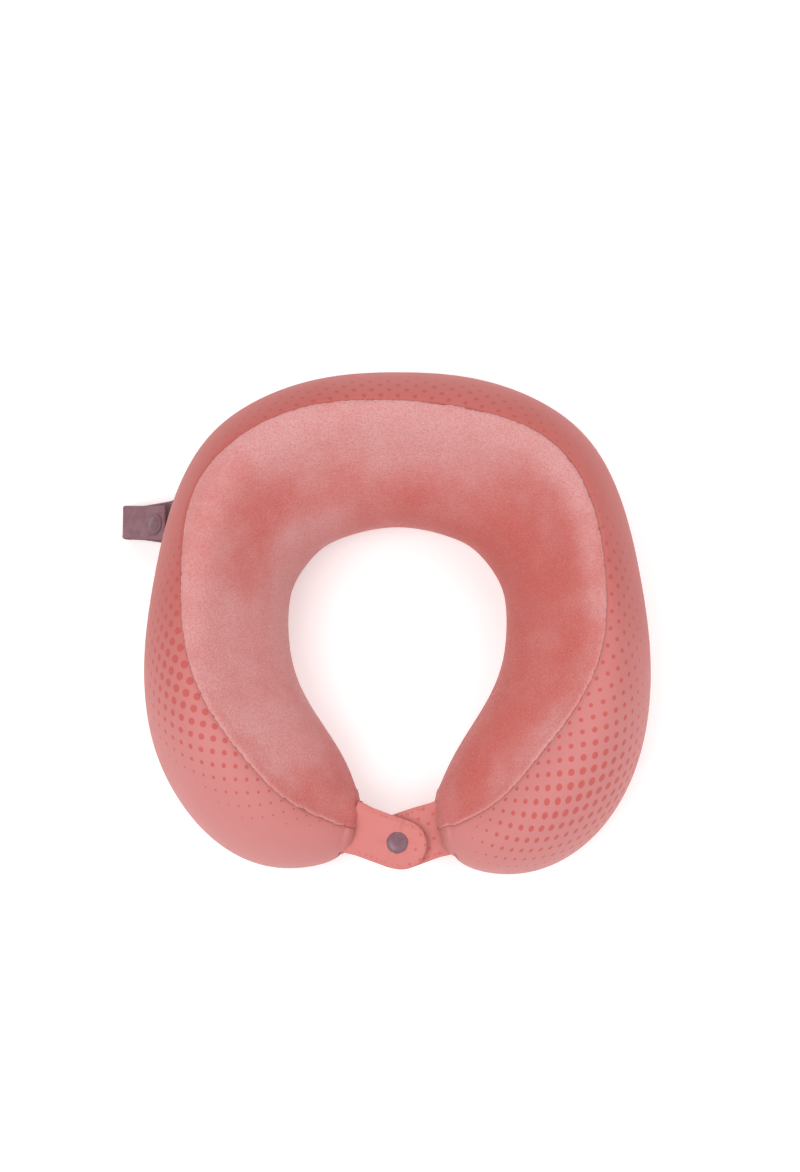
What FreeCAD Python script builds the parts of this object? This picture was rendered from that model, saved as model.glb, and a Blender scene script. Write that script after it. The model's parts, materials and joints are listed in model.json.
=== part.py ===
"""U shaped memory foam neck pillow, in millimetres.

The pillow lies flat: +Z is up, +Y points to the nape, -Y to the two front tabs, and the origin is
the centre of the neck opening on the face that the pillow rests on. The foam core and its cover
are split at X = 0, where the real foam bends when the arms are opened.
"""
import FreeCAD, Part

import math
import os

import Sketcher
from FreeCAD import Placement, Rotation, Vector

# Each station is a vertical section through one arm, from the nape to the tab. It has the inner
# and the outer end of the section in plan, its lowest and highest point, and how far across it
# the seam between velour and side panel lies.
STATION_COLUMNS = ("inner_x", "inner_y", "outer_x", "outer_y", "bottom", "top", "seam")
STATIONS = {
    "nape": (0.0, 49.4, 0.0, 135.3, 0.0, 90.0, 0.695),
    "upper_back": (30.8, 43.2, 60.0, 127.0, 0.0, 93.0, 0.735),
    "shoulder": (46.0, 33.8, 102.8, 101.3, 0.0, 100.0, 0.765),
    "upper_side": (56.3, 20.0, 123.0, 69.0, 0.0, 106.0, 0.81),
    "side": (62.0, -3.5, 137.5, 10.5, 0.0, 110.0, 0.74),
    "lower_side": (59.3, -31.0, 142.0, -35.0, 0.0, 110.0, 0.67),
    "flank": (49.2, -54.8, 137.0, -77.0, 0.0, 108.0, 0.59),
    "front_side": (37.2, -73.0, 123.0, -108.0, 0.0, 102.0, 0.535),
    "front": (27.8, -89.5, 99.5, -133.6, 0.0, 90.0, 0.495),
    "tip": (23.2, -101.3, 65.8, -146.5, 8.0, 74.0, 0.45),
    "root": (21.0, -111.8, 30.5, -137.2, 38.5, 51.5, 0.55),
}

# What each station of the right arm adds to that: it is fuller at the front, and its seam runs
# further in.
RIGHT_ARM = {
    "upper_back": (0.0, 0.0, 0.0, 0.0, 0.0, 0.0, -0.045),
    "shoulder": (0.0, 0.0, 0.0, 0.0, 0.0, 0.0, -0.05),
    "upper_side": (0.0, 0.0, 0.0, 0.0, 0.0, 0.0, -0.095),
    "side": (0.0, 0.0, 0.0, 0.0, 0.0, 0.0, -0.06),
    "lower_side": (0.0, 0.0, 0.0, 0.0, 0.0, 0.0, -0.045),
    "flank": (0.0, 0.0, 0.8, 0.0, 0.0, 0.0, -0.065),
    "front_side": (0.3, -0.5, 2.2, -1.5, 0.0, 0.0, -0.08),
    "front": (0.4, -0.5, 2.2, -2.8, 0.0, 0.0, -0.07),
    "tip": (0.0, 0.0, 0.8, -3.4, 0.0, 0.0, -0.04),
}

# Outline of a section: share of its width from the neck side, share of its height.
SECTION_OUTLINE = (
    (0.26, -0.02), (0.05, 0.14), (0.00, 0.34), (0.10, 0.60), (0.36, 0.84), (0.68, 1.00),
    (0.91, 0.80), (1.00, 0.44), (0.94, 0.13), (0.78, -0.02), (0.52, -0.05),
)

DIMENSIONS = {
    # Layers of the cushion
    "cover_thickness": 1.0,
    "liner_thickness": 0.5,
    "layer_gap": 0.5,
    "half_gap": 0.3,
    "base_seam_height": 9.0,
    # Front tabs
    "tab_root_x": 23.0,
    "tab_root_y": -125.3,
    "tab_turn": 20.4,
    "tab_width": 27.6,
    "tab_cloth": 1.2,
    "tab_start": 0.5,
    "tab_corner": 10.0,
    "upper_tab_end": 38.6,
    "lower_tab_end": 36.5,
    "upper_tab_height": 47.8,
    "lower_tab_height": 41.8,
    "binding_start": -2.6,
    "binding_end": -1.7,
    "binding_width": 22.0,
    "stitch_length": 2.6,
    "stitch_width": 0.5,
    "stitch_height": 0.3,
    "stitch_pitch": 3.9,
    "stitch_inset": 2.2,
    # Snap fasteners
    "snap_reach": 24.5,
    "cap_radius": 6.0,
    "cap_rim": 0.6,
    "cap_crown": 1.3,
    "post_radius": 1.7,
    "hole_radius": 1.9,
    "socket_radius": 5.2,
    "socket_bore": 2.5,
    "socket_thickness": 1.3,
    "stud_flange": 4.0,
    "stud_flange_thickness": 0.5,
    "stud_radius": 2.1,
    "stud_height": 1.9,
    "rivet_radius": 5.0,
    "strap_rivet_radius": 3.6,
    "rivet_thickness": 0.8,
    # Strap
    "strap_x": -131.8,
    "strap_y": 51.0,
    "strap_z": 25.0,
    "strap_droop": 42.0,
    "strap_width": 19.5,
    "strap_cloth": 1.4,
    "strap_length": 30.2,
    "strap_loop": 5.0,
    "strap_start": 0.5,
    "strap_snap_reach": 4.6,
    "strap_stud_height": 4.2,
    "flap_end": -3.0,
    "flap_start": 28.6,
    # Zip on the underside of the right half, on a circle round the neck opening
    "zip_radius": 100.0,
    "zip_start": -35.0,
    "zip_sweep": 95.0,
    "slot_half_width": 5.5,
    "channel_depth": 7.0,
    "tape_thickness": 0.6,
    "tape_height": 5.0,
    "coil_width": 2.3,
    "coil_gap": 0.1,
    "coil_bottom": 2.6,
    "coil_top": 4.4,
    "slider_half_width": 4.0,
    "slider_wall": 1.0,
    "slider_bottom": 1.2,
    "slider_clearance": 0.3,
    "slider_sweep": 6.0,
    "pull_half_width": 2.5,
    "pull_bottom": 0.3,
    "pull_thickness": 0.6,
    "pull_sweep": 8.0,
    "stop_sweep": 1.0,
}

WORK_SIZE = 400.0
RING_POINTS = 28


# ---------------------------------------------------------------- document and sheet

def make_sheet(doc):
    """Write every driving dimension to the spreadsheet, one alias per cell."""
    sheet = doc.addObject("Spreadsheet::Sheet", "dims")
    cells = dict(DIMENSIONS)
    for name, values in STATIONS.items():
        for column, value in zip(STATION_COLUMNS, values):
            cells[f"{name}_{column}"] = value
    for name, values in RIGHT_ARM.items():
        for column, value in zip(STATION_COLUMNS, values):
            cells[f"right_{name}_{column}"] = value
    for row, (alias, value) in enumerate(cells.items(), start=1):
        sheet.set(f"A{row}", alias)
        sheet.set(f"B{row}", str(value))
        sheet.setAlias(f"B{row}", alias)
    doc.recompute()
    return sheet


def read(sheet, name):
    return float(getattr(sheet, name))


def with_sheet(expression):
    """Put the sheet's name before each dimension that an expression uses."""
    pieces = expression.replace("(", " ( ").replace(")", " ) ").split()
    return " ".join("dims." + piece if piece in DIMENSIONS else piece for piece in pieces)


def bind(item, **expressions):
    for prop, expression in expressions.items():
        item.setExpression(prop, with_sheet(expression))


# ---------------------------------------------------------------- PartDesign helpers

def origin_plane(body, role):
    return next(plane for plane in body.Origin.OriginFeatures if plane.Role == role)


def polygon_sketch(body, role, corners):
    """Closed outline whose corners are pairs of expressions, each bound to the sheet."""
    sketch = body.newObject("Sketcher::SketchObject", body.Name + "_outline")
    sketch.AttachmentSupport = [(origin_plane(body, role), "")]
    sketch.MapMode = "FlatFace"
    places = [tuple(with_sheet(value) for value in corner) for corner in corners]
    values = [tuple(float(body.evalExpression(value)) for value in place) for place in places]
    count = len(values)
    for index in range(count):
        start = Vector(*values[index], 0)
        end = Vector(*values[(index + 1) % count], 0)
        sketch.addGeometry(Part.LineSegment(start, end), False)
    for index in range(count):
        sketch.addConstraint(Sketcher.Constraint("Coincident", index, 2, (index + 1) % count, 1))
    for index in range(count):
        for axis, kind in enumerate(("DistanceX", "DistanceY")):
            rule = Sketcher.Constraint(kind, -1, 1, index, 1, values[index][axis])
            number = sketch.addConstraint(rule)
            sketch.setExpression(f"Constraints[{number}]", places[index][axis])
    return sketch


def new_body(doc, label):
    body = doc.addObject("PartDesign::Body", label)
    body.Label = label
    return body


def pad_body(doc, label, corners, thickness, lift="0"):
    """Flat plate: an outline in the XY plane, padded upwards from a height."""
    body = new_body(doc, label)
    sketch = polygon_sketch(body, "XY_Plane", corners)
    bind(sketch, **{"AttachmentOffset.Base.z": lift})
    pad = body.newObject("PartDesign::Pad", label + "_pad")
    pad.Profile = sketch
    bind(pad, Length=thickness)
    doc.recompute()
    return body


def ring_body(doc, label, corners, sweep="360"):
    """Solid of revolution about Z: an outline in the XZ plane, turned by an angle."""
    body = new_body(doc, label)
    sketch = polygon_sketch(body, "XZ_Plane", corners)
    turn = body.newObject("PartDesign::Revolution", label + "_turn")
    turn.Profile = sketch
    turn.ReferenceAxis = (sketch, ["V_Axis"])
    bind(turn, Angle=sweep)
    doc.recompute()
    return body


def drill_round_hole(doc, body, reach, radius):
    """Round hole through a flat plate, on its centre line."""
    sketch = body.newObject("Sketcher::SketchObject", body.Name + "_hole_outline")
    sketch.AttachmentSupport = [(origin_plane(body, "XY_Plane"), "")]
    sketch.MapMode = "FlatFace"
    distance = float(body.evalExpression(with_sheet(reach)))
    size = float(body.evalExpression(with_sheet(radius)))
    centre = Vector(distance, 0, 0)
    sketch.addGeometry(Part.Circle(centre, Vector(0, 0, 1), size), False)
    for kind, value, source in (("DistanceX", distance, reach), ("DistanceY", 0.0, None)):
        number = sketch.addConstraint(Sketcher.Constraint(kind, -1, 1, 0, 3, value))
        if source:
            sketch.setExpression(f"Constraints[{number}]", with_sheet(source))
    number = sketch.addConstraint(Sketcher.Constraint("Radius", 0, size))
    sketch.setExpression(f"Constraints[{number}]", with_sheet(radius))
    before = body.Shape.Volume
    hole = body.newObject("PartDesign::Pocket", body.Name + "_hole")
    hole.Profile = sketch
    hole.Type = "ThroughAll"
    hole.Midplane = True
    doc.recompute()
    if not body.Shape.Volume < before:
        raise RuntimeError(f"{body.Label}: the hole removed nothing")


def round_far_corners(doc, body, pad, radius):
    """Round the two upright edges at the far end of a plate."""
    far = pad.Shape.BoundBox.XMax
    names = []
    for number, edge in enumerate(pad.Shape.Edges, start=1):
        box = edge.BoundBox
        if box.XMin > far - 0.01 and box.YLength < 0.01 and box.ZLength > 0.01:
            names.append(f"Edge{number}")
    fillet = body.newObject("PartDesign::Fillet", body.Name + "_corners")
    fillet.Base = (pad, names)
    bind(fillet, Radius=radius)
    doc.recompute()


def free_shape(doc, label, shape):
    item = doc.addObject("Part::Feature", label)
    item.Label = label
    item.Shape = shape
    return item


# ---------------------------------------------------------------- cushion

def section_points(station, inset):
    """Outline of one section in space, moved inwards by the inset."""
    inner = Vector(station["inner_x"], station["inner_y"], 0)
    across = Vector(station["outer_x"], station["outer_y"], 0) - inner
    width = across.Length
    height = station["top"] - station["bottom"]
    flat = [(u * width, station["bottom"] + v * height) for u, v in SECTION_OUTLINE]
    across.normalize()
    points = []
    for index, (u, v) in enumerate(flat):
        before = flat[index - 1]
        after = flat[(index + 1) % len(flat)]
        du, dv = after[0] - before[0], after[1] - before[1]
        length = math.hypot(du, dv)
        u += inset * dv / length
        v -= inset * du / length
        points.append(inner + across * u + Vector(0, 0, v))
    return points


def mirrored(point):
    return Vector(-point.x, point.y, point.z)


def smooth_ring(points):
    """Evenly parametrised points of the smooth closed curve through an outline."""
    curve = Part.BSplineCurve()
    curve.interpolate(Points=points, PeriodicFlag=True)
    period = curve.LastParameter - curve.FirstParameter
    start = curve.parameter(points[-1])
    ring = []
    for index in range(RING_POINTS):
        place = start + period * index / RING_POINTS
        ring.append(curve.value(place - period if place > curve.LastParameter else place))
    return ring + ring[:1]


def read_stations(sheet):
    """The stations of the left arm and of the right arm, each from the nape to the tab."""
    left, right = [], []
    for name in STATIONS:
        row = {column: read(sheet, f"{name}_{column}") for column in STATION_COLUMNS}
        left.append(row)
        right.append(dict(row))
        if name in RIGHT_ARM:
            for column in STATION_COLUMNS:
                right[-1][column] += read(sheet, f"right_{name}_{column}")
    return left, right


def shortened(stations, amount):
    """Draw the last station back into the arm, at its own size, to close the end of a layer."""
    tip, root = stations[-2], stations[-1]
    middle = [Vector(row["inner_x"] + row["outer_x"], row["inner_y"] + row["outer_y"], 0) / 2
              for row in (tip, root)]
    back = (middle[0] - middle[1]).normalize() * amount
    drawn = dict(root)
    for end in ("inner", "outer"):
        drawn[end + "_x"] += back.x
        drawn[end + "_y"] += back.y
    return stations[:-1] + [drawn]


def cushion_solid(arms, inset):
    """Whole U, skinned from the left root over the nape to the right root, flat below."""
    left, right = ([section_points(row, inset) for row in shortened(arm, inset)] for arm in arms)
    left = [[mirrored(point) for point in points] for points in reversed(left[1:])]
    surface = Part.BSplineSurface()
    surface.interpolate([smooth_ring(points) for points in left + right])
    first, last = surface.bounds()[:2]
    ends = [Part.Face(Part.Wire([surface.uIso(end).toShape()])) for end in (first, last)]
    shell = Part.makeShell([surface.toShape()] + ends)
    shell.sewShape()
    solid = Part.makeSolid(shell)
    if solid.Volume < 0:
        solid.reverse()
    corner = Vector(-WORK_SIZE / 2, -WORK_SIZE / 2, inset)
    return solid.common(Part.makeBox(WORK_SIZE, WORK_SIZE, WORK_SIZE, corner))


def seam_points(arm):
    points = []
    for row in arm:
        inner = Vector(row["inner_x"], row["inner_y"], 0)
        outer = Vector(row["outer_x"], row["outer_y"], 0)
        points.append(inner + (outer - inner) * row["seam"])
    return points


def seam_prism(arms):
    """Upright prism inside the seam between the velour and the side panel."""
    left, right = (seam_points(arm) for arm in arms)
    points = [mirrored(point) for point in reversed(left[1:])] + right
    curve = Part.BSplineCurve()
    curve.interpolate(Points=points)
    front = Part.makeLine(points[-1], points[0])
    face = Part.Face(Part.Wire([curve.toShape(), front]))
    face.translate(Vector(0, 0, -1))
    return face.extrude(Vector(0, 0, WORK_SIZE / 2))


def zip_channel(sheet, depth, clearance=0.0):
    """Ring sector that the zip takes up in the underside."""
    radius = read(sheet, "zip_radius")
    half = read(sheet, "slot_half_width") + clearance
    outer = Part.makeCylinder(radius + half, depth + 1, Vector(0, 0, -1), Vector(0, 0, 1),
                              read(sheet, "zip_sweep"))
    inner = Part.makeCylinder(radius - half, depth + 1, Vector(0, 0, -1))
    channel = outer.cut(inner)
    channel.rotate(Vector(0, 0, 0), Vector(0, 0, 1), read(sheet, "zip_start"))
    return channel


def cushion_layers(sheet):
    """Every layer of the cushion over the whole U, by its name."""
    cover = read(sheet, "cover_thickness")
    gap = read(sheet, "layer_gap")
    liner = read(sheet, "liner_thickness")
    arms = read_stations(sheet)
    outside, inside, liner_out, liner_in, core = (
        cushion_solid(arms, inset)
        for inset in (0.0, cover, cover + gap, cover + gap + liner, cover + 2 * gap + liner))
    shell = outside.cut(inside)
    height = read(sheet, "base_seam_height")
    corner = Vector(-WORK_SIZE / 2, -WORK_SIZE / 2, height)
    upper_space = Part.makeBox(WORK_SIZE, WORK_SIZE, WORK_SIZE, corner)
    walls = shell.common(upper_space)
    prism = seam_prism(arms)
    depth = read(sheet, "channel_depth")
    layers = {
        "top_panel": walls.common(prism),
        "side_panel": walls.cut(prism),
        "base_panel": shell.cut(upper_space).cut(zip_channel(sheet, cover + gap)),
        "inner_liner": liner_out.cut(liner_in).cut(zip_channel(sheet, depth, gap)),
        "foam_core": core.cut(zip_channel(sheet, depth + gap, 2 * gap)),
    }
    return layers


def half_space(sheet, side):
    gap = read(sheet, "half_gap") / 2
    low_x = gap if side == "right" else -WORK_SIZE - gap
    return Part.makeBox(WORK_SIZE, 2 * WORK_SIZE, 2 * WORK_SIZE,
                        Vector(low_x, -WORK_SIZE, -WORK_SIZE))


def largest_solid(shape):
    return max(shape.Solids, key=lambda solid: solid.Volume)


def make_cushion(doc, sheet):
    items = []
    for layer, shape in cushion_layers(sheet).items():
        for side in ("left", "right"):
            half = largest_solid(shape.common(half_space(sheet, side)))
            items.append(free_shape(doc, f"{layer}_{side}", half))
    return items


# ---------------------------------------------------------------- front tabs

def tab_place(sheet, side, height):
    sign = -1 if side == "left" else 1
    turn = read(sheet, "tab_turn")
    angle = -turn if side == "left" else 180 + turn
    spot = Vector(sign * read(sheet, "tab_root_x"), read(sheet, "tab_root_y"), height)
    return Placement(spot, Rotation(Vector(0, 0, 1), angle))


def tab_ply(doc, label, end, lift, place):
    """One layer of cloth of a tab, with rounded far corners and the hole of its snap."""
    half = "tab_width / 2"
    corners = (("tab_start", f"-1 * {half}"), (end, f"-1 * {half}"), (end, half),
               ("tab_start", half))
    body = pad_body(doc, label, corners, "tab_cloth", lift)
    round_far_corners(doc, body, body.Tip, "tab_corner")
    drill_round_hole(doc, body, "snap_reach", "hole_radius")
    body.Placement = place
    return body


def stitch_row(start, end, length, width, height, pitch):
    """Separate stitches, evenly spaced along a straight line on top of a cloth."""
    run = end - start
    count = max(1, int(run.Length / pitch))
    heading = math.degrees(math.atan2(run.y, run.x))
    stitches = []
    for index in range(count):
        middle = start + run * ((index + 0.5) / count)
        stitch = Part.makeBox(length, width, height, Vector(-length / 2, -width / 2, 0))
        stitch.rotate(Vector(0, 0, 0), Vector(0, 0, 1), heading)
        stitch.translate(middle)
        stitches.append(stitch)
    return stitches


def stitched_outline(sheet, corners, height):
    sizes = [read(sheet, "stitch_" + name) for name in ("length", "width", "height", "pitch")]
    stitches = []
    for start, end in zip(corners, corners[1:]):
        stitches += stitch_row(Vector(*start, height), Vector(*end, height), *sizes)
    return Part.makeCompound(stitches)


def tab_stitching(doc, sheet, label, end, place):
    """Edge stitching of a tab: along both sides and round the chamfered end."""
    half = read(sheet, "tab_width") / 2 - read(sheet, "stitch_inset")
    first = read(sheet, "tab_start") + read(sheet, "stitch_inset")
    last = read(sheet, end) - read(sheet, "stitch_inset")
    corner = read(sheet, "tab_corner") - read(sheet, "stitch_inset")
    corners = ((first, half), (last - corner, half), (last, half - corner),
               (last, corner - half), (last - corner, -half), (first, -half))
    item = free_shape(doc, label, stitched_outline(sheet, corners, read(sheet, "tab_cloth")))
    item.Placement = place
    return item


def make_tabs(doc, sheet):
    items = []
    for name, side in (("upper_tab", "left"), ("lower_tab", "right")):
        place = tab_place(sheet, side, read(sheet, name + "_height"))
        end = name + "_end"
        items.append(tab_ply(doc, name + "_face", end, "0", place))
        items.append(tab_ply(doc, name + "_lining", end, "-1 * tab_cloth", place))
        items.append(tab_stitching(doc, sheet, name + "_stitching", end, place))
        half = "binding_width / 2"
        corners = (("binding_start", f"-1 * {half}"), ("binding_end", f"-1 * {half}"),
                   ("binding_end", half), ("binding_start", half))
        binding = pad_body(doc, name + "_binding", corners, "2 * tab_cloth", "-1 * tab_cloth")
        binding.Placement = place
        items.append(binding)
    return items


# ---------------------------------------------------------------- snap fasteners

def cap_outline(cloth):
    """Domed cap on the cloth, with its post down through the cloth; z = 0 is the cloth's top."""
    return (("0", f"-1 * {cloth}"), ("post_radius", f"-1 * {cloth}"), ("post_radius", "0"),
            ("cap_radius", "0"), ("cap_radius", "cap_rim"),
            ("0.72 * cap_radius", "cap_crown"), ("0", "cap_crown"))


def socket_outline():
    """Spring socket under the cloth, open below; z = 0 is the cloth's underside."""
    floor = "-0.35 * socket_thickness"
    rim = "-1 * socket_thickness"
    return (("0", "0"), ("socket_radius", "0"), ("socket_radius", rim), ("socket_bore", rim),
            ("socket_bore", floor), ("0", floor))


def stud_outline(height):
    """Stud on the lower cloth; z = 0 is that cloth's top."""
    return (("0", "0"), ("stud_flange", "0"), ("stud_flange", "stud_flange_thickness"),
            ("0.85 * stud_radius", "stud_flange_thickness"),
            ("stud_radius", f"0.7 * {height}"), ("0.8 * stud_radius", height), ("0", height))


def rivet_outline(cloth, radius):
    """Rivet head under the lower cloth, with its post up through it; z = 0 is the underside."""
    under = "-1 * rivet_thickness"
    return (("0", under), (f"0.8 * {radius}", under), (radius, f"0.3 * {under}"), (radius, "0"),
            ("post_radius", "0"), ("post_radius", cloth), ("0", cloth))


def placed(item, place, x, z):
    item.Placement = place.multiply(Placement(Vector(x, 0, z), Rotation()))
    return item


def make_front_snap(doc, sheet):
    cloth = read(sheet, "tab_cloth")
    reach = read(sheet, "snap_reach")
    upper = tab_place(sheet, "left", read(sheet, "upper_tab_height"))
    lower = tab_place(sheet, "right", read(sheet, "lower_tab_height"))
    both = "( 2 * tab_cloth )"
    return [
        placed(ring_body(doc, "snap_cap", cap_outline(both)), upper, reach, cloth),
        placed(ring_body(doc, "snap_socket", socket_outline()), upper, reach, -cloth),
        placed(ring_body(doc, "snap_stud", stud_outline("stud_height")), lower, reach, cloth),
        placed(ring_body(doc, "snap_rivet", rivet_outline(both, "rivet_radius")), lower, reach, -cloth),
    ]


# ---------------------------------------------------------------- strap

def strap_place(sheet):
    """Frame of the strap: X along it, drooping, Y across it, Z out of its upper face."""
    spot = Vector(*(read(sheet, "strap_" + axis) for axis in "xyz"))
    droop = Rotation(Vector(0, 1, 0), -read(sheet, "strap_droop"))
    return Placement(spot, droop.multiply(Rotation(Vector(0, 0, 1), 180)))


def strap_plate(doc, label, start, end, lift):
    half = "strap_width / 2"
    corners = ((start, f"-1 * {half}"), (end, f"-1 * {half}"), (end, half), (start, half))
    body = pad_body(doc, label, corners, "strap_cloth", lift)
    drill_round_hole(doc, body, "strap_snap_reach", "hole_radius")
    return body


def strap_fold(doc):
    """Half tube that turns the strap back over itself."""
    radii = {"outer": "strap_loop / 2 + strap_cloth", "inner": "strap_loop / 2"}
    tubes = {}
    for name, radius in radii.items():
        tube = doc.addObject("Part::Cylinder", f"strap_fold_{name}")
        bind(tube, Radius=radius, Height="strap_width", Angle="180")
        tube.Placement = Placement(Vector(0, 0, 0), Rotation(Vector(0, 0, 1), -90))
        tubes[name] = tube
    fold = doc.addObject("Part::Cut", "strap_fold")
    fold.Base, fold.Tool = tubes["outer"], tubes["inner"]
    fold.Placement = Placement(Vector(0, 0, 0), Rotation(Vector(1, 0, 0), 90))
    bind(fold, **{"Placement.Base.x": "strap_length", "Placement.Base.y": "strap_width / 2",
                  "Placement.Base.z": "strap_loop / 2"})
    return fold


def make_strap(doc, sheet):
    place = strap_place(sheet)
    lower = strap_plate(doc, "strap_lower_ply", "strap_start", "strap_length", "-1 * strap_cloth")
    band = doc.addObject("Part::Fuse", "strap_band")
    band.Label = "strap_band"
    band.Base, band.Tool = lower, strap_fold(doc)
    band.Placement = place
    flap = strap_plate(doc, "strap_flap", "flap_end", "flap_start", "strap_loop")
    flap.Placement = place
    reach = read(sheet, "strap_snap_reach")
    cloth = read(sheet, "strap_cloth")
    loop = read(sheet, "strap_loop")
    ply = "strap_cloth"
    items = [
        band,
        flap,
        placed(ring_body(doc, "strap_cap", cap_outline(ply)), place, reach, loop + cloth),
        placed(ring_body(doc, "strap_socket", socket_outline()), place, reach, loop),
        placed(ring_body(doc, "strap_stud", stud_outline("strap_stud_height")), place, reach, 0),
        placed(ring_body(doc, "strap_rivet", rivet_outline(ply, "strap_rivet_radius")), place,
               reach, -cloth),
    ]
    return items


# ---------------------------------------------------------------- zip

def zip_ring(doc, sheet, label, corners, first, sweep):
    """Piece of the zip that follows its circle, from an angle on it over a sweep."""
    body = ring_body(doc, label, corners, sweep)
    body.Placement = Placement(Vector(), Rotation(Vector(0, 0, 1), first))
    return body


def tape_outline(sign):
    """Tape with a turned-down edge against the base panel, and its web above the coil."""
    edge = f"zip_radius + {sign} * slot_half_width"
    leg = f"zip_radius + {sign} * ( slot_half_width - tape_thickness )"
    inner = f"zip_radius + {sign} * coil_gap"
    web = "tape_height - tape_thickness"
    return ((edge, "layer_gap"), (leg, "layer_gap"), (leg, web), (inner, web),
            (inner, "tape_height"), (edge, "tape_height"))


def coil_outline(sign):
    near = f"zip_radius + {sign} * coil_gap"
    far = f"zip_radius + {sign} * coil_width"
    return ((near, "coil_bottom"), (far, "coil_bottom"), (far, "coil_top"), (near, "coil_top"))


def slider_outline():
    """U shaped channel that holds both coils from below."""
    outer, inner = "zip_radius + slider_half_width", "zip_radius - slider_half_width"
    outer_wall, inner_wall = outer + " - slider_wall", inner + " + slider_wall"
    floor, rim = "coil_bottom - slider_clearance", "coil_top - slider_clearance"
    return ((inner, "slider_bottom"), (outer, "slider_bottom"), (outer, rim),
            (outer_wall, rim), (outer_wall, floor), (inner_wall, floor), (inner_wall, rim),
            (inner, rim))


def pull_outline():
    inner, outer = "zip_radius - pull_half_width", "zip_radius + pull_half_width"
    top = "pull_bottom + pull_thickness"
    return ((inner, "pull_bottom"), (outer, "pull_bottom"), (outer, top), (inner, top))


def stop_outline():
    inner, outer = "zip_radius - coil_width", "zip_radius + coil_width"
    low = "coil_bottom - slider_clearance"
    return ((inner, low), (outer, low), (outer, "coil_top"), (inner, "coil_top"))


def make_zip(doc, sheet):
    start = read(sheet, "zip_start")
    sweep = read(sheet, "zip_sweep")
    stop = read(sheet, "stop_sweep")
    coil_sweep = "zip_sweep - 2 * stop_sweep"
    slider = start + stop + 0.5
    pull = slider + read(sheet, "slider_sweep") * 0.6
    items = []
    for name, sign in (("inner", -1), ("outer", 1)):
        items.append(zip_ring(doc, sheet, f"zip_tape_{name}", tape_outline(sign), start,
                              "zip_sweep"))
        items.append(zip_ring(doc, sheet, f"zip_coil_{name}", coil_outline(sign), start + stop,
                              coil_sweep))
    items.append(zip_ring(doc, sheet, "zip_bottom_stop", stop_outline(), start, "stop_sweep"))
    items.append(zip_ring(doc, sheet, "zip_top_stop", stop_outline(), start + sweep - stop,
                          "stop_sweep"))
    items.append(zip_ring(doc, sheet, "zip_slider", slider_outline(), slider, "slider_sweep"))
    items.append(zip_ring(doc, sheet, "zip_pull", pull_outline(), pull, "pull_sweep"))
    return items


# ---------------------------------------------------------------- export

def check(doc, items):
    for item in doc.Objects:
        if "Invalid" in item.State or "Error" in item.State:
            raise RuntimeError(f"{item.Label}: {item.State}")
    for item in items:
        shape = item.Shape
        if shape.isNull() or not shape.isValid() or not shape.Solids:
            raise RuntimeError(f"{item.Label}: no valid solid")


def main():
    doc = FreeCAD.newDocument("neck_pillow")
    sheet = make_sheet(doc)
    items = make_cushion(doc, sheet) + make_tabs(doc, sheet) + make_front_snap(doc, sheet)
    items += make_strap(doc, sheet) + make_zip(doc, sheet)
    doc.recompute()
    check(doc, items)
    os.makedirs("parts", exist_ok=True)
    for item in items:
        item.Shape.exportStep(f"parts/{item.Label}.step")
        box = item.Shape.BoundBox
        print(f"{item.Label:20s} {item.Shape.Volume / 1000:9.3f} cm3, z {box.ZMin:.1f} {box.ZMax:.1f}")


main()
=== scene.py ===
"""Looks of the U shaped neck pillow, in metres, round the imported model's fixed frame."""
import json
import math
from collections import namedtuple

import bpy
import numpy as np
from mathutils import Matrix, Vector
from mathutils.bvhtree import BVHTree


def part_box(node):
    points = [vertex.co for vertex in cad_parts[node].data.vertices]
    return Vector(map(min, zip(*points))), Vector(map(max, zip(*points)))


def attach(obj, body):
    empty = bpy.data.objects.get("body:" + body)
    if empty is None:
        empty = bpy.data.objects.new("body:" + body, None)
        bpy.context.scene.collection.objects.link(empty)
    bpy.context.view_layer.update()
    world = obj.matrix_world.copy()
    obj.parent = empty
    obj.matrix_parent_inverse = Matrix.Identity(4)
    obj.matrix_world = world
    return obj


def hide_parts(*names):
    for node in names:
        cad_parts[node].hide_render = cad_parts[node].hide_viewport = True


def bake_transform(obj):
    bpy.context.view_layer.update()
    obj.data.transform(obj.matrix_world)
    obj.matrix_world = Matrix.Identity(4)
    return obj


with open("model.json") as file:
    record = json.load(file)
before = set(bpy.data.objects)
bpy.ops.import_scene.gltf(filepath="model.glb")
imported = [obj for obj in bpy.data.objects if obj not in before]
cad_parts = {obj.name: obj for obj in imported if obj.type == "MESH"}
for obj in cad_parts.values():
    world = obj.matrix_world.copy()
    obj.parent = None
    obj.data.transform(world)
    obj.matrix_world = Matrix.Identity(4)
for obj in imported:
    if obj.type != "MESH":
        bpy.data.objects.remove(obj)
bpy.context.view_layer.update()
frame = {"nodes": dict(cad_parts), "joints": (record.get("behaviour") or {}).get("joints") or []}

MM = 0.001
rng = np.random.default_rng(7)
joints = {joint["name"]: joint for joint in frame["joints"]}


# -------- meshes

def new_piece(name, verts, faces, material, smooth=True):
    mesh = bpy.data.meshes.new(name)
    mesh.from_pydata([tuple(v) for v in verts], [], [tuple(int(i) for i in f) for f in faces])
    mesh.materials.append(material)
    mesh.validate()
    piece = bpy.data.objects.new(name, mesh)
    bpy.context.scene.collection.objects.link(piece)
    if smooth:
        mesh.shade_smooth()
    return piece


def write_attribute(piece, name, values):
    """Store one number per vertex, for the materials to read."""
    layer = piece.data.attributes.new(name, "FLOAT", "POINT")
    layer.data.foreach_set("value", np.asarray(values, dtype=np.float32))


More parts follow.
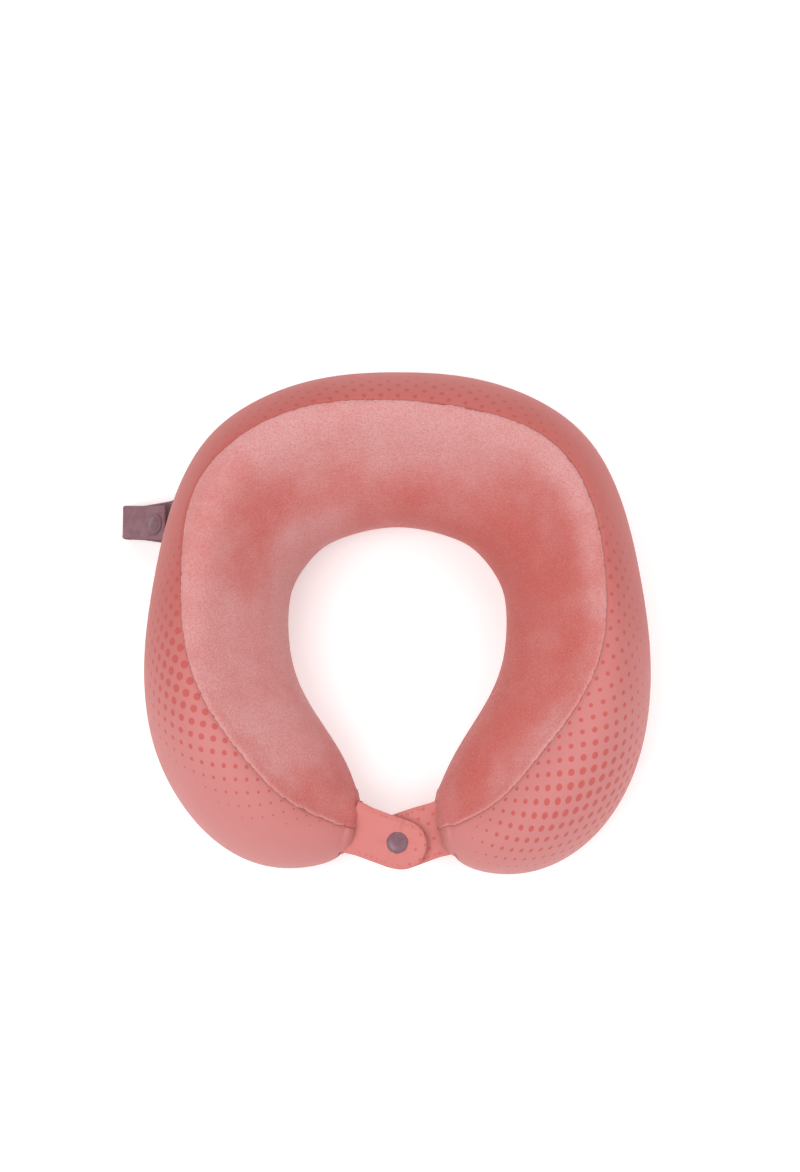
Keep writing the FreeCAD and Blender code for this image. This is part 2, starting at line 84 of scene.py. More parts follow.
def grid_faces(rows, columns, start=0):
    """Quads between the points of a grid that is stored row by row."""
    faces = []
    for i in range(rows - 1):
        for j in range(columns - 1):
            a = start + i * columns + j
            faces.append((a, a + columns, a + columns + 1, a + 1))
    return faces


def grid_normals(points):
    """Unit normals of a grid of points, rows by columns by xyz."""
    along = np.gradient(points, axis=0)
    across = np.gradient(points, axis=1)
    normal = np.cross(along, across)
    length = np.linalg.norm(normal, axis=2, keepdims=True)
    return normal / np.maximum(length, 1e-12)


def closed_sheet(points, thickness, normals):
    """Vertices and faces of a sheet with a thickness, from the grid of its outer face."""
    rows, columns = points.shape[:2]
    inner = points - normals * thickness
    verts = np.concatenate([points.reshape(-1, 3), inner.reshape(-1, 3)])
    size = rows * columns
    faces = grid_faces(rows, columns)
    faces += [tuple(reversed(f)) for f in grid_faces(rows, columns, size)]
    for j in range(columns - 1):
        for i, turned in ((0, False), (rows - 1, True)):
            a = i * columns + j
            quad = (a, a + 1, a + 1 + size, a + size)
            faces.append(tuple(reversed(quad)) if turned else quad)
    for i in range(rows - 1):
        for j, turned in ((0, True), (columns - 1, False)):
            a = i * columns + j
            quad = (a, a + columns, a + columns + size, a + size)
            faces.append(tuple(reversed(quad)) if turned else quad)
    return verts, faces


def smooth_rows(values, sigma):
    """Gaussian average along the first axis, with the ends held."""
    reach = int(sigma * 3) + 1
    kernel = np.exp(-0.5 * (np.arange(-reach, reach + 1) / sigma) ** 2)
    kernel /= kernel.sum()
    padded = np.concatenate([np.repeat(values[:1], reach, 0), values,
                             np.repeat(values[-1:], reach, 0)])
    return sum(k * padded[i:i + len(values)] for i, k in enumerate(kernel))


# -------- materials

class Nodes:
    """Builds one procedural material; each method adds a node and returns its output."""

    def __init__(self, name):
        self.material = bpy.data.materials.new(name)
        self.material.use_nodes = True
        self.tree = self.material.node_tree
        self.shader = self.tree.nodes["Principled BSDF"]

    def node(self, kind, **values):
        made = self.tree.nodes.new("ShaderNode" + kind)
        for key, value in values.items():
            if key in made.bl_rna.properties:
                setattr(made, key, value)
            else:
                made.inputs[key].default_value = value
        return made

    def link(self, source, target):
        self.tree.links.new(source, target)

    def place(self):
        return self.node("TexCoord").outputs["Object"]

    def attribute(self, name):
        return self.node("Attribute", attribute_name=name).outputs["Fac"]

    def maths(self, operation, a, b=None, c=None):
        made = self.node("Math", operation=operation)
        for socket, value in zip(made.inputs, (a, b, c)):
            if value is None:
                continue
            if isinstance(value, (int, float)):
                socket.default_value = value
            else:
                self.link(value, socket)
        return made.outputs[0]

    def noise(self, scale, detail):
        made = self.node("TexNoise", Scale=scale, Detail=detail)
        self.link(self.place(), made.inputs["Vector"])
        return made.outputs["Fac"]

    def wave(self, source, pitch):
        """Sine of a distance, one turn per pitch."""
        return self.maths("SINE", self.maths("MULTIPLY", source, 2 * math.pi / pitch))

    def mix(self, factor, first, second):
        made = self.node("Mix", data_type="RGBA")
        self.link(factor, made.inputs[0])
        for socket, colour in ((made.inputs[6], first), (made.inputs[7], second)):
            if isinstance(colour, tuple):
                socket.default_value = (*colour, 1.0)
            else:
                self.link(colour, socket)
        return made.outputs[2]

    def ramp(self, value, low, high):
        """0 below low, 1 above high and a smooth step between them."""
        made = self.node("MapRange", interpolation_type="SMOOTHSTEP")
        self.link(value, made.inputs["Value"])
        made.inputs["From Min"].default_value = low
        made.inputs["From Max"].default_value = high
        return made.outputs[0]

    def bump(self, height, distance, strength=1.0, under=None):
        made = self.node("Bump", Strength=strength, Distance=distance)
        self.link(height, made.inputs["Height"])
        if under is not None:
            self.link(under, made.inputs["Normal"])
        return made.outputs["Normal"]

    def finish(self, colour, normal=None, **values):
        """Connect the colour and the normal, set the other sockets and return the material."""
        if isinstance(colour, tuple):
            self.shader.inputs["Base Color"].default_value = (*colour, 1.0)
        else:
            self.link(colour, self.shader.inputs["Base Color"])
        if normal is not None:
            self.link(normal, self.shader.inputs["Normal"])
        for key, value in values.items():
            socket = self.shader.inputs[key.replace("_", " ")]
            socket.default_value = (*value, 1.0) if isinstance(value, tuple) else value
        return self.material


def velour_material():
    """Short brushed pile with fine grain, and painted sheen and shade: pale where the attribute lean is
    high, deep where it is low.
    """
    n = Nodes("velour")
    patches = n.ramp(n.noise(22, 4), 0.34, 0.68)
    streaks = n.ramp(n.noise(75, 4), 0.35, 0.7)
    # Painted sheen and shade: the attribute lean, broken up by random patches and streaks.
    lean = n.maths("MULTIPLY_ADD", patches, 0.30, n.maths("SUBTRACT", n.attribute("lean"), 0.15))
    lean = n.maths("MULTIPLY_ADD", streaks, 0.16, n.maths("SUBTRACT", lean, 0.08))
    lean = n.ramp(lean, -0.1, 1.1)
    grain = n.noise(980, 3)
    fine = n.noise(1500, 2)
    # From deep painted shade to pale painted sheen, by lean.
    tone = n.mix(lean, (0.525, 0.122, 0.105), (0.605, 0.300, 0.294))
    speckled = n.mix(n.maths("MULTIPLY", n.ramp(grain, 0.40, 0.64), 0.30), tone,
                     (0.430, 0.088, 0.078))
    frosted = n.mix(n.maths("MULTIPLY", n.ramp(fine, 0.48, 0.68), 0.18), speckled,
                    (0.740, 0.400, 0.380))
    edge = n.maths("SUBTRACT", 1.0, n.ramp(n.attribute("across"), 0.0002, 0.0016))
    colour = n.mix(n.maths("MULTIPLY", edge, 0.40), frosted, (0.720, 0.430, 0.415))
    tufts = n.bump(grain, 0.0009, 0.75)
    normal = n.bump(fine, 0.0005, 0.55, tufts)
    return n.finish(colour, normal, Roughness=0.95, Sheen_Weight=0.35, Sheen_Roughness=0.35,
                    Sheen_Tint=(1.0, 0.74, 0.70), Specular_IOR_Level=0.1)


KNIT_PITCH = 0.7 * MM
SIDE_DOT_PITCH = 9.2 * MM
TAB_DOT_PITCH = 8.8 * MM
DOT_BLUR = 0.22 * MM         # half the width of a printed dot's soft rim


def knit_height(n, pitch):
    """Rows of fine stretch knit along the panel's own coordinates."""
    across = n.wave(n.attribute("across"), pitch)
    along = n.wave(n.attribute("along"), pitch)
    return n.maths("MULTIPLY_ADD", n.maths("MULTIPLY", across, along), 0.5, 0.5)


def dot_mask(n, pitch):
    """Staggered lattice of round dots, whose radius is the attribute dot_size, in metres."""
    u = n.maths("DIVIDE", n.attribute("along"), pitch)
    v = n.maths("DIVIDE", n.attribute("across"), pitch)
    distances = []
    for shift in (0.0, 0.5):
        du = n.maths("SUBTRACT", n.maths("FRACT", n.maths("ADD", u, shift)), 0.5)
        dv = n.maths("SUBTRACT", n.maths("FRACT", n.maths("ADD", v, shift)), 0.5)
        squares = n.maths("MULTIPLY_ADD", du, du, n.maths("MULTIPLY", dv, dv))
        distances.append(n.maths("SQRT", squares))
    nearest = n.maths("MULTIPLY", n.maths("MINIMUM", *distances), pitch)
    inside = n.maths("SUBTRACT", n.attribute("dot_size"), nearest)
    return n.ramp(inside, -DOT_BLUR, DOT_BLUR)


def printed_knit_material(name, light, deep, dots, dot_pitch=SIDE_DOT_PITCH):
    """Smooth elastic knit with printed dots, and painted light and shade: paler where the painted
    shading attribute is high, the dots darker in the painted shade.
    """
    n = Nodes(name)
    # Painted light and shade from the attribute, broken up by soft noise.
    painted_shading_share = n.maths("MULTIPLY_ADD", n.ramp(n.noise(9, 2), 0.3, 0.7), 0.3,
                   n.maths("SUBTRACT", n.attribute("stretch"), 0.15))
    shade = n.mix(n.ramp(painted_shading_share, -0.1, 1.1), deep, light)
    # Painted shade on the print: the dots' ink is darker where the knit is painted deep.
    shaded_inks = n.mix(n.ramp(painted_shading_share, -0.1, 1.1), tuple(0.78 * c for c in dots), dots)
    printed = n.mix(dot_mask(n, dot_pitch), shade, shaded_inks)
    height = knit_height(n, KNIT_PITCH)
    colour = n.mix(n.maths("MULTIPLY", height, 0.16), printed, deep)
    fine = n.bump(height, 0.00012, 0.5)
    normal = n.bump(n.noise(900, 2), 0.00015, 0.25, fine)
    return n.finish(colour, normal, Roughness=0.72, Sheen_Weight=0.14, Sheen_Roughness=0.45,
                    Sheen_Tint=(1.0, 0.80, 0.78), Specular_IOR_Level=0.25)


def cloth_material(name, light, deep, pitch, roughness=0.85):
    """Plain woven cloth, with its weave in the object's own coordinates."""
    n = Nodes(name)
    split = n.node("SeparateXYZ")
    n.link(n.place(), split.inputs[0])
    warp = n.wave(split.outputs[0], pitch)
    weft = n.wave(split.outputs[1], pitch)
    height = n.maths("MULTIPLY_ADD", n.maths("MULTIPLY", warp, weft), 0.5, 0.5)
    tone = n.mix(n.ramp(n.noise(120, 3), 0.3, 0.7), deep, light)
    colour = n.mix(n.maths("MULTIPLY", height, 0.25), tone, deep)
    normal = n.bump(height, pitch * 0.3, 0.6)
    return n.finish(colour, normal, Roughness=roughness, Sheen_Weight=0.15,
                    Specular_IOR_Level=0.3)


def webbing_material():
    """Flat woven tape: ribs along it and a fine cross weave."""
    n = Nodes("strap_webbing")
    ribs = n.wave(n.attribute("across"), 1.1 * MM)
    picks = n.wave(n.attribute("along"), 0.7 * MM)
    height = n.maths("MULTIPLY_ADD", n.maths("MULTIPLY_ADD", picks, 0.6, ribs), 0.3, 0.5)
    tone = n.mix(n.ramp(n.noise(180, 3), 0.3, 0.7), (0.165, 0.068, 0.086),
                 (0.225, 0.105, 0.126))
    colour = n.mix(n.maths("MULTIPLY", n.ramp(height, 0.1, 0.9), 0.35), tone,
                   (0.280, 0.145, 0.165))
    normal = n.bump(height, 0.00022, 0.8)
    return n.finish(colour, normal, Roughness=0.8, Sheen_Weight=0.2, Specular_IOR_Level=0.3)


def enamel_material():
    """Mauve lacquer over a pressed cap, a little uneven."""
    n = Nodes("snap_cap_enamel")
    colour = n.mix(n.ramp(n.noise(700, 3), 0.3, 0.7), (0.140, 0.056, 0.078),
                   (0.185, 0.080, 0.104))
    normal = n.bump(n.noise(500, 2), 0.00004, 0.3)
    return n.finish(colour, normal, Roughness=0.38, Metallic=0.1, Coat_Weight=0.25,
                    Coat_Roughness=0.25)


def metal_material(name, tone):
    """Brushed metal, a little uneven."""
    n = Nodes(name)
    colour = n.mix(n.ramp(n.noise(900, 4), 0.3, 0.7), tuple(0.8 * c for c in tone), tone)
    normal = n.bump(n.noise(1800, 2), 0.00003, 0.4)
    return n.finish(colour, normal, Roughness=0.33, Metallic=1.0)


def foam_material():
    """Open cell memory foam."""
    n = Nodes("memory_foam")
    cells = n.node("TexVoronoi", Scale=900.0)
    n.link(n.place(), cells.inputs["Vector"])
    pores = n.ramp(cells.outputs["Distance"], 0.1, 0.6)
    colour = n.mix(pores, (0.62, 0.54, 0.36), (0.80, 0.72, 0.52))
    return n.finish(colour, n.bump(pores, 0.0004, 0.5), Roughness=0.95)


def thread_material():
    """Twisted sewing thread."""
    n = Nodes("thread")
    split = n.node("SeparateXYZ")
    n.link(n.place(), split.inputs[0])
    twist = n.maths("ADD", split.outputs[0], split.outputs[1])
    ply = n.wave(twist, 0.5 * MM)
    colour = n.mix(n.maths("MULTIPLY_ADD", ply, 0.5, 0.5), (0.50, 0.100, 0.095),
                   (0.66, 0.170, 0.155))
    return n.finish(colour, n.bump(ply, 0.0001, 0.6), Roughness=0.6, Sheen_Weight=0.1)


VELOUR = velour_material()
# Each knit's first colour is its painted lit tone and its second its painted shaded tone, a lit and a
# shaded copy of one cloth; the third is the dots' ink.
SIDE_KNIT = printed_knit_material("side_knit", (0.545, 0.202, 0.194), (0.435, 0.103, 0.090),
                                  (0.500, 0.098, 0.090))
BASE_KNIT = printed_knit_material("base_knit", (0.480, 0.150, 0.140), (0.430, 0.120, 0.112),
                                  (0.430, 0.120, 0.112))
TAB_KNIT = printed_knit_material("tab_knit", (0.580, 0.196, 0.180), (0.525, 0.160, 0.147),
                                 (0.560, 0.125, 0.110), TAB_DOT_PITCH)
LINER = cloth_material("liner_cloth", (0.80, 0.78, 0.74), (0.68, 0.66, 0.62), 0.8 * MM)
FOAM = foam_material()
WEBBING = webbing_material()
THREAD = thread_material()
ENAMEL = enamel_material()
STEEL = metal_material("snap_metal", (0.62, 0.60, 0.60))
ZIP_TAPE = cloth_material("zip_tape", (0.600, 0.190, 0.180), (0.500, 0.140, 0.132), 0.6 * MM)
ZIP_COIL = cloth_material("zip_coil", (0.560, 0.170, 0.160), (0.440, 0.120, 0.112), 1.5 * MM, 0.45)
ZIP_METAL = metal_material("zip_metal", (0.30, 0.18, 0.21))


# -------- the cushion's surface

PANELS = ("top_panel", "side_panel", "base_panel")
TOP, SIDE, BASE = range(3)
SIDES = ("left", "right")
CORE_HEIGHT = 45 * MM        # rays start at this height, inside the foam
RINGS = 640
RAYS = 180
END_ANGLE = math.radians(-77.2)      # the right arm's last ring, just short of its rounded end
TOP_START = RAYS * 150 // 360        # a ray that always meets the top panel
SIDE_START = 0                       # and one that always meets the side panel
PAST_INNER = 0.05 * MM
COVER_REACH = 6 * MM         # the cover's outer face is nearer than this to its inner face
OUTSIDE = 0.4                # well outside the cushion
HALVINGS = 7


def panel_tree():
    """The cover's CAD faces in one search tree, and the panel of each face."""
    verts, faces, owner = [], [], []
    for number, panel in enumerate(PANELS):
        for side in SIDES:
            mesh = frame["nodes"][f"{panel}_{side}"].data
            start = len(verts)
            verts += [v.co.copy() for v in mesh.vertices]
            for polygon in mesh.polygons:
                faces.append([start + i for i in polygon.vertices])
                owner.append(number)
    return BVHTree.FromPolygons(verts, faces), owner


def outer_hit(tree, start, heading):
    """Distance to the outer face of the cover from a point inside it, and the face's number."""
    inner = tree.ray_cast(start, heading)
    if inner[0] is None:                 # the zip's slot, level with the underside
        return -start.z / heading.z, None
    outer = tree.ray_cast(start + heading * (inner[3] + PAST_INNER), heading)
    if outer[0] is not None and outer[3] < COVER_REACH:
        return inner[3] + PAST_INNER + outer[3], outer[2]
    return inner[3], inner[2]


def measure_cushion():
    """Rings of the cover's outer face: centres, radial directions, reach and panel per ray."""
    tree, owner = panel_tree()
    bends = np.linspace(END_ANGLE, math.pi - END_ANGLE, RINGS)
    reach = np.zeros((RINGS, RAYS))
    panel = np.zeros((RINGS, RAYS), dtype=int)
    middles = np.zeros(RINGS)
    up = Vector((0, 0, 1))
    for i, bend in enumerate(bends):
        outwards = Vector((math.cos(bend), math.sin(bend), 0))
        axis = Vector((0, 0, CORE_HEIGHT))
        inner = tree.ray_cast(axis, outwards)[3]
        outer = OUTSIDE - tree.ray_cast(axis + outwards * OUTSIDE, -outwards)[3]
        middles[i] = (inner + outer) / 2
        centre = axis + outwards * middles[i]
        for j in range(RAYS):
            turn = 2 * math.pi * j / RAYS
            heading = outwards * math.cos(turn) + up * math.sin(turn)
            reach[i, j], face = outer_hit(tree, centre, heading)
            panel[i, j] = BASE if face is None else owner[face]
    return bends, middles, reach, panel


def panel_at(tree, owner, bend, middle, turn):
    """Which panel a ray meets, from the middle of one ring at one angle."""
    outwards = Vector((math.cos(bend), math.sin(bend), 0))
    centre = Vector((0, 0, CORE_HEIGHT)) + outwards * middle
    face = outer_hit(tree, centre, outwards * math.cos(turn) + Vector((0, 0, math.sin(turn))))[1]
    return BASE if face is None else owner[face]


def edge_angle(tree, owner, ring, start, step, wanted):
    """Angle at which a ring leaves the wanted panel: a walk in whole rays, then halving."""
    bend, middle, row = ring
    index = start
    while row[index % RAYS] == wanted:
        index += step
    ray = 2 * math.pi / RAYS
    inside, outside = (index - step) * ray, index * ray
    for _ in range(HALVINGS):
        half = (inside + outside) / 2
        if panel_at(tree, owner, bend, middle, half) == wanted:
            inside = half
        else:
            outside = half
    return (inside + outside) / 2


def seam_angles(bends, middles, panel):
    """Angles, ring by ring, of the top seam and of both edges of the base panel."""
    tree, owner = panel_tree()
    walks = ((TOP_START, -1, TOP), (TOP_START, 1, TOP), (SIDE_START, -1, SIDE))
    edges = []
    for start, step, wanted in walks:
        angles = [edge_angle(tree, owner, ring, start, step, wanted)
                  for ring in zip(bends, middles, panel)]
        edges.append(smooth_rows(np.array(angles), RINGS / 260))
    return edges[0], edges[1], edges[2] + 2 * math.pi


BENDS, MIDDLES, REACH, PANEL = measure_cushion()
TOP_SEAM, BASE_IN, BASE_OUT = seam_angles(BENDS, MIDDLES, PANEL)


def cushion_points(turns, inset=0.0):
    """Points of the cover, or below it, at one angle per ring and column of turns."""
    rays = (turns / (2 * math.pi) * RAYS) % RAYS
    low = np.floor(rays).astype(int) % RAYS
    share = rays - np.floor(rays)
    rows = np.arange(RINGS)[:, None]
    a, b, c, d = (REACH[rows, (low + k) % RAYS] for k in (-1, 0, 1, 2))
    reach = b + 0.5 * share * (c - a + share * (2 * a - 5 * b + 4 * c - d
                                                + share * (3 * (b - c) + d - a)))
    reach -= inset
    radius = MIDDLES[:, None] + reach * np.cos(turns)
    height = CORE_HEIGHT + reach * np.sin(turns)
    return np.stack([radius * np.cos(BENDS)[:, None], radius * np.sin(BENDS)[:, None],
                     height], axis=2)


def even_turns(start, end, columns):
    """Angles between two edges, spaced evenly along each ring's own curve, and its length."""
    fine = np.linspace(0, 1, 240)
    turns = start[:, None] + (end - start)[:, None] * fine
    points = cushion_points(turns)
    steps = np.linalg.norm(np.diff(points, axis=1), axis=2)
    run = np.concatenate([np.zeros((RINGS, 1)), np.cumsum(steps, axis=1)], axis=1)
    wanted = np.linspace(0, 1, columns)
    result = np.zeros((RINGS, columns))
    for i in range(RINGS):
        result[i] = np.interp(wanted * run[i, -1], run[i], turns[i])
    return result, run[:, -1]


def arc_run(points):
    """Distance along a line of points."""
    return np.concatenate([[0], np.cumsum(np.linalg.norm(np.diff(points, axis=0), axis=1))])


END_STEPS = 9
END_HEIGHT = 3.2 * MM        # the slit's own size
END_WIDTH = 26.6 * MM
END_DRAW = 0.93              # the cover stops this share of the way to the hinge
TAB_HINGES = {"right": "lower_tab_drop", "left": "upper_tab_lift"}


def close_ends(points):
    """Draw both ends of the cover in to the slit that each tab is sewn into."""
    grown = []
    for end, side in ((0, "right"), (-1, "left")):
        hinge = np.array(joints[TAB_HINGES[side]]["pos_m"])
        bend = BENDS[end]
        outwards = np.array([math.cos(bend), math.sin(bend)])
        middle = outwards * MIDDLES[end]
        ring = points[end]
        reach = REACH[end]
        turns = np.arange(RAYS) * 2 * math.pi / RAYS
        keep_height = END_HEIGHT / 2 / np.abs(reach * np.sin(turns)).max()
        keep_width = END_WIDTH / np.ptp(reach * np.cos(turns))
        rows = []
        for step in range(1, END_STEPS + 1):
            turn = step / END_STEPS * math.pi / 2
            forward = math.sin(turn)
            narrow = 1 + (keep_width - 1) * forward ** 2 * (3 - 2 * forward)
            flat = keep_height + (1 - keep_height) * math.cos(turn)
            row = ring.copy()
            row[:, :2] = (middle + (ring[:, :2] - middle) * narrow
                          + (hinge[:2] - middle) * forward * END_DRAW)
            row[:, 2] = (CORE_HEIGHT + (ring[:, 2] - CORE_HEIGHT) * flat
                         + (hinge[2] - CORE_HEIGHT) * (1 - math.cos(turn)))
            rows.append(row)
        grown.append(np.array(rows))
    return np.concatenate([grown[0][::-1], points, grown[1]])


OVERLAP = 1.8 * MM       # how far a panel runs on below its neighbour's edge
COVER_CLOTH = 0.9 * MM


def rolled_edge(distance):
    """Lift of an upper edge: turned under at the seam, then full, then level."""
    x = distance / MM
    return (0.55 * np.exp(-(((x - 2.2) / 2.6) ** 2)) - 0.75 * np.exp(-((x / 0.8) ** 2))) * MM


def sunk_edge(distance):
    """Lift of an edge that lies below its neighbour, rising to level beside it."""
    x = np.clip((distance / MM - 1.0) / 3.0, 0, 1)
    return -1.15 * (1 - x * x * (3 - 2 * x)) * MM


def panel_piece(name, start, end, columns, material, edges):
    """One sewn panel between two edges; edges gives the profile of the seam at each.

    Returns it with its outer points and their distances from both edges.
    """
    turns, widths = even_turns(start, end, columns)
    points = cushion_points(turns)
    share = np.linspace(0, 1, columns)
    normals = grid_normals(points)
    centre = np.stack([MIDDLES * np.cos(BENDS), MIDDLES * np.sin(BENDS),
                       np.full(RINGS, CORE_HEIGHT)], axis=1)[:, None, :]
    normal_sign = 1 if np.sum(normals * (points - centre)) > 0 else -1
    normals = normals * normal_sign
    lift = np.zeros(points.shape[:2])
    distances = (share[None, :] * widths[:, None], (1 - share)[None, :] * widths[:, None])
    for distance, profile in zip(distances, edges):
        lift += profile(distance)
    points = close_ends(points + normals * lift[:, :, None])
    normals = grid_normals(points) * normal_sign
    distances = tuple(np.concatenate([d[:1]] * END_STEPS + [d] + [d[-1:]] * END_STEPS)
                      for d in distances)
    verts, faces = closed_sheet(points, COVER_CLOTH, normals)
    return new_piece(name, verts, faces, material), points, distances


# -------- print, and painted sheen, light and shade

NO_DOT = -1 * MM
SMALLEST_DOT, LARGEST_DOT = 0.38 * MM, 2.4 * MM


def fade(values, low, high):
    """0 below low, 1 above high and a smooth step between them."""
    x = np.clip((values - low) / (high - low), 0, 1)
    return x * x * (3 - 2 * x)


def dot_sizes(points, from_seam):
    """Radius of the printed dots: large on the left flank and at the right front, else fine."""
    x, y = points[..., 0], points[..., 1]
    left_flank = (np.exp(-(((y + 0.046) / 0.068) ** 2)) * (x < 0)
                  * (1 - 0.72 * fade(from_seam, 0.010, 0.060)) * (1 - fade(from_seam, 0.070, 0.100)))
    left_flank *= 1 - fade(from_seam, 0.020, 0.060) * fade(-y, 0.075, 0.115)
    right_front = (np.exp(-(((y + 0.108) / 0.046) ** 2)) * fade(x, 0.035, 0.080)
                   * fade(from_seam, 0.004, 0.048) * (1 - fade(from_seam, 0.075, 0.100)))
    nape = np.exp(-((x / 0.105) ** 4)) * (y > 0) * (1 - fade(from_seam, 0.014, 0.034))
    right_edge = (x > 0) * (1 - fade(from_seam, 0.016, 0.055)) * fade(-y, -0.07, 0.0)
    tip = 1 - 0.75 * fade(0.060 - x, 0.0, 0.025) * fade(-y, 0.09, 0.115) * (x > 0)
    size = (2.15 * left_flank + 1.8 * right_front + 1.3 * nape + 1.15 * right_edge * tip) * MM
    size *= 1 - fade(-y, 0.122, 0.142) * (x < 0)
    return np.where(size > SMALLEST_DOT, np.minimum(size, LARGEST_DOT), NO_DOT)


def pile_sheen_and_shade(points, from_seam):
    """Painted sheen and shade on the velour: pale sheen over the back and the left arm, deep elsewhere.
    """
    x, y = points[..., 0], points[..., 1]
    left = fade(-x, -0.01, 0.07)
    right = fade(x, 0.03, 0.09)
    back = fade(y, 0.03, 0.09)
    # Painted sheen: a pale rim beside the seam.
    rim = 1 - fade(from_seam, 0.004, 0.022)
    # Painted sheen over the left arm and over the back near the seam; painted shade on the right arm
    # and at the front of the left arm; painted light on the left arm's wall towards the neck.
    lean = 0.24 + 0.50 * left * (1 - back) + 0.66 * back * (1 - fade(from_seam, 0.030, 0.060))
    lean += 0.40 * right * rim - 0.10 * right * (1 - back) - 0.40 * fade(-y, 0.085, 0.118) * left
    lean += 0.50 * left * fade(from_seam, 0.055, 0.080)
    # Painted shade in a dip on the left arm, near the back.
    valley_shade = np.exp(-(((x + 0.075) / 0.028) ** 2) - (((y - 0.035) / 0.035) ** 2))
    return np.clip(lean - 0.38 * valley_shade, 0, 1)


def knit_painted_shading(points):
    """Painted light and shade on the knit: pale over the front flanks, a little paler at the right
    back, deep at the back and darker low on the front flanks.
    """
    x, y, z = points[..., 0], points[..., 1], points[..., 2]
    flank = fade(-y, 0.0, 0.085)
    right_back = 0.22 * fade(x, 0.06, 0.11) * (1 - flank)
    low = 0.35 * flank * fade(0.045 - z, 0.0, 0.035)
    return np.clip(0.10 + right_back + 0.80 * flank - low, 0, 1)


def write_panel_attributes(piece, points, across, with_dots):
    """What the panel's material reads, the same on both faces of the sheet."""
    seam = arc_run(points[:, 0])
    along = np.repeat((seam - seam[-1] / 2)[:, None], points.shape[1], axis=1)
    sizes = dot_sizes(points, across) if with_dots else np.full(along.shape, NO_DOT)
    for name, values in (("along", along), ("across", across), ("dot_size", sizes),
                         # lean carries the velour's painted sheen and shade; the last attribute carries
                         # the knit's painted light and shade.
                         ("lean", pile_sheen_and_shade(points, across)),
                         ("stretch", knit_painted_shading(points))):
        write_attribute(piece, name, np.tile(values.reshape(-1), 2))


# -------- cover, liner and core

FRAY = 0.16 * MM             # unevenness of the velour's cut edge
LINER_DEPTH, CORE_DEPTH = 2.2 * MM, 3.2 * MM


def bend_at_nape(piece):
    """Bakes the piece's placement into its mesh."""
    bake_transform(piece)


def both_sides(name):
    return [f"{name}_{side}" for side in SIDES]


def angle_of(length, start):
    """Angle that a length along the surface takes up at an angle of each ring."""
    rays = (start / (2 * math.pi) * RAYS) % RAYS
    return length / REACH[np.arange(RINGS), np.round(rays).astype(int) % RAYS]


def base_edges():
    """Edges of the base panel, run on below its neighbours; a narrow strip at the arm ends."""
    middle = (BASE_IN + BASE_OUT) / 2
    half = (BASE_OUT - BASE_IN) / 2 + angle_of(OVERLAP, middle)
    return middle - half, middle + half


def make_cover():
    """The three panels of the cover, by the name of the CAD node that each stands for."""
    frayed = TOP_SEAM + angle_of(rng.normal(0, FRAY, RINGS), TOP_SEAM)
    below = TOP_SEAM + angle_of(OVERLAP, TOP_SEAM)
    base_start, base_end = base_edges()
    panels = (
        ("top_panel", "velour_top_panel", frayed, BASE_IN, 110, VELOUR, "velour",
         (rolled_edge, rolled_edge)),
        ("side_panel", "printed_side_panel", below, BASE_OUT - 2 * math.pi, 90, SIDE_KNIT,
         "side_knit", (sunk_edge, rolled_edge)),
        ("base_panel", "knit_base_panel", base_start, base_end, 44, BASE_KNIT, "base_knit",
         (sunk_edge, sunk_edge)),
    )
    pieces = {}
    for panel, name, start, end, columns, material, slot, edges in panels:
        piece, points, distances = panel_piece(name, start, end, columns, material, edges)
        write_panel_attributes(piece, points, distances[0], panel == "side_panel")
        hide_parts(*both_sides(panel))
        pieces[panel] = piece
    return pieces


def make_closed_ring(name, inset, material):
    """Closed body inside the cover, at a depth below its surface."""
    columns = 64
    turns = np.repeat(np.linspace(0, 2 * math.pi, columns, endpoint=False)[None, :], RINGS, axis=0)
    points = cushion_points(turns, inset)[4:-4:2]
    rows = len(points)
    verts = list(points.reshape(-1, 3))
    faces = []
    for i in range(rows - 1):
        for j in range(columns):
            a, b = i * columns + j, i * columns + (j + 1) % columns
            faces.append((a, a + columns, b + columns, b))
    faces.append(tuple(range(columns)))
    faces.append(tuple(reversed(range((rows - 1) * columns, rows * columns))))
    return new_piece(name, verts, faces, material)


def make_filling():
    """The liner and the foam core, each with room for the zip below."""
    for name, depth, material in (("inner_liner", LINER_DEPTH, LINER), ("foam_core", CORE_DEPTH, FOAM)):
        piece = make_closed_ring(name + "_body", depth, material)
        cut_slot(piece, 6 * MM + depth / 2, 0.5 * MM)
        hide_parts(*both_sides(name))
        bend_at_nape(piece)


def zip_slot(depth, clearance):
    """Ring sector that the zip takes up in the underside, grown by a clearance."""
    places = np.array([v.co[:2] for v in frame["nodes"]["zip_tape_outer"].data.vertices])
    outer = np.linalg.norm(places, axis=1).max() + clearance
    inner = 2 * np.hypot(*joints["zip_pull_swing"]["pos_m"][:2]) - outer
    bends = np.arctan2(places[:, 1], places[:, 0])
    reach = clearance / outer
    verts, faces = [], []
    count = 90               # steps round the zip's circle
    for bend in np.linspace(bends.min() - reach, bends.max() + reach, count):
        for radius, height in ((inner, -2 * MM), (outer, -2 * MM), (outer, depth), (inner, depth)):
            verts.append((radius * math.cos(bend), radius * math.sin(bend), height))
    for i in range(count - 1):
        for j in range(4):
            a, b = i * 4 + j, i * 4 + (j + 1) % 4
            faces.append((a, a + 4, b + 4, b))
    faces += [(0, 1, 2, 3), tuple(reversed(range(count * 4 - 4, count * 4)))]
    return new_piece("zip_slot", verts, faces, FOAM, smooth=False)


def cut_slot(piece, depth, clearance):
    tool = zip_slot(depth, clearance)
    cut = piece.modifiers.new("slot", "BOOLEAN")
    cut.operation, cut.object, cut.solver = "DIFFERENCE", tool, "EXACT"
    with bpy.context.temp_override(object=piece, active_object=piece):
        bpy.ops.object.modifier_apply(modifier=cut.name)
    bpy.data.objects.remove(tool)


